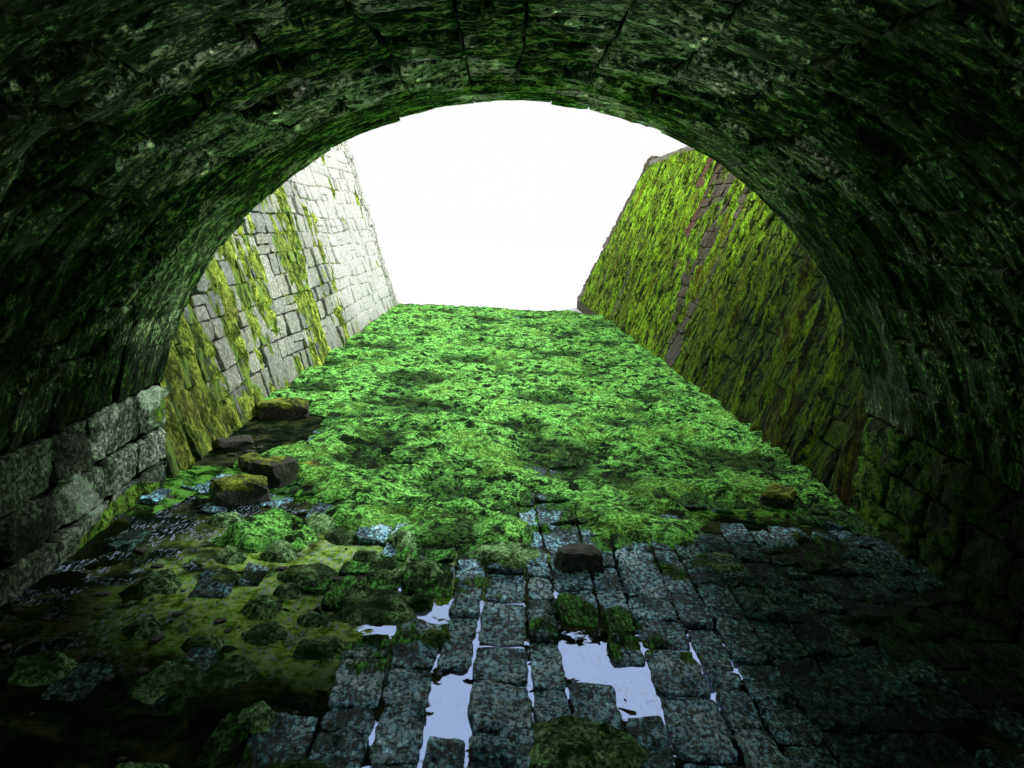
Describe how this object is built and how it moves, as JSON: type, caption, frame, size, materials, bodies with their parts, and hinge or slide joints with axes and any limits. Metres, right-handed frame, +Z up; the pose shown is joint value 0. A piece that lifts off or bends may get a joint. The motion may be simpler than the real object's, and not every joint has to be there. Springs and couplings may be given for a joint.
{
  "type": "culvert headwall",
  "caption": "Stone culvert mouth: arched barrel end with a face ring and headwall, parapet, paved invert and apron, and two long battered wing walls.",
  "frame": {"origin": "on the centre line of the barrel, in the plane of the headwall's face, at the underside of the sill, where the structure rests", "axes": "+Y out of the barrel between the wing walls, +X to the right of someone looking out, +Z up"},
  "size_m": [9, 20.6, 4.32],
  "materials": {
    "ashlar": "squared blocks, damp, with lime patches and moss at the foot",
    "vault_slabs": "rough flat slabs laid on edge, dark and damp, with open joints",
    "ring_stone": "rough tapered stones of the face ring",
    "wall_rubble": "coursed rubble",
    "backing_rubble": "rough rubble laid in mortar",
    "wing_rubble_grey": "squared rubble, blue-grey, with moss streaks down the batter",
    "wing_rubble_mossy": "squared rubble nearly covered by yellow-green moss",
    "dressed_stone": "dressed, weathered, with lichen",
    "setts": "long setts along the barrel, wet in the joints",
    "footing_stone": "large rough blocks"
  },
  "bodies": {
    "root": {"abutment_footings": "footing_stone", "abutment_left_base_course": "ashlar", "abutment_left_middle_course": "ashlar", "abutment_left_top_course": "ashlar", "abutment_right_base_course": "ashlar", "abutment_right_middle_course": "ashlar", "abutment_right_top_course": "ashlar", "apron": "setts", "apron_end_sill": "setts", "band_course": "dressed_stone", "barrel_paving": "setts", "haunch_backing_left": "backing_rubble", "haunch_backing_right": "backing_rubble", "headwall_crown_panel": "wall_rubble", "headwall_footings": "footing_stone", "headwall_pier_left": "wall_rubble", "headwall_pier_right": "wall_rubble", "headwall_spandrel_left": "wall_rubble", "headwall_spandrel_right": "wall_rubble", "keystone": "ring_stone", "mouth_sill": "setts", "parapet_coping": "dressed_stone", "parapet_piers": "dressed_stone", "parapet_wall": "wall_rubble", "pier_caps": "dressed_stone", "springer_left": "vault_slabs", "springer_right": "vault_slabs", "vault_crown": "vault_slabs", "vault_haunch_left": "vault_slabs", "vault_haunch_right": "vault_slabs", "vault_shoulder_left": "vault_slabs", "vault_shoulder_right": "vault_slabs", "voussoirs_left_even": "ring_stone", "voussoirs_left_odd": "ring_stone", "voussoirs_right_even": "ring_stone", "voussoirs_right_odd": "ring_stone", "wing_coping_left": "dressed_stone", "wing_coping_right": "dressed_stone", "wing_end_left": "wing_rubble_grey", "wing_end_right": "wing_rubble_mossy", "wing_footings": "footing_stone", "wing_wall_left": "wing_rubble_grey", "wing_wall_right": "wing_rubble_mossy"}
  },
  "joints": []
}
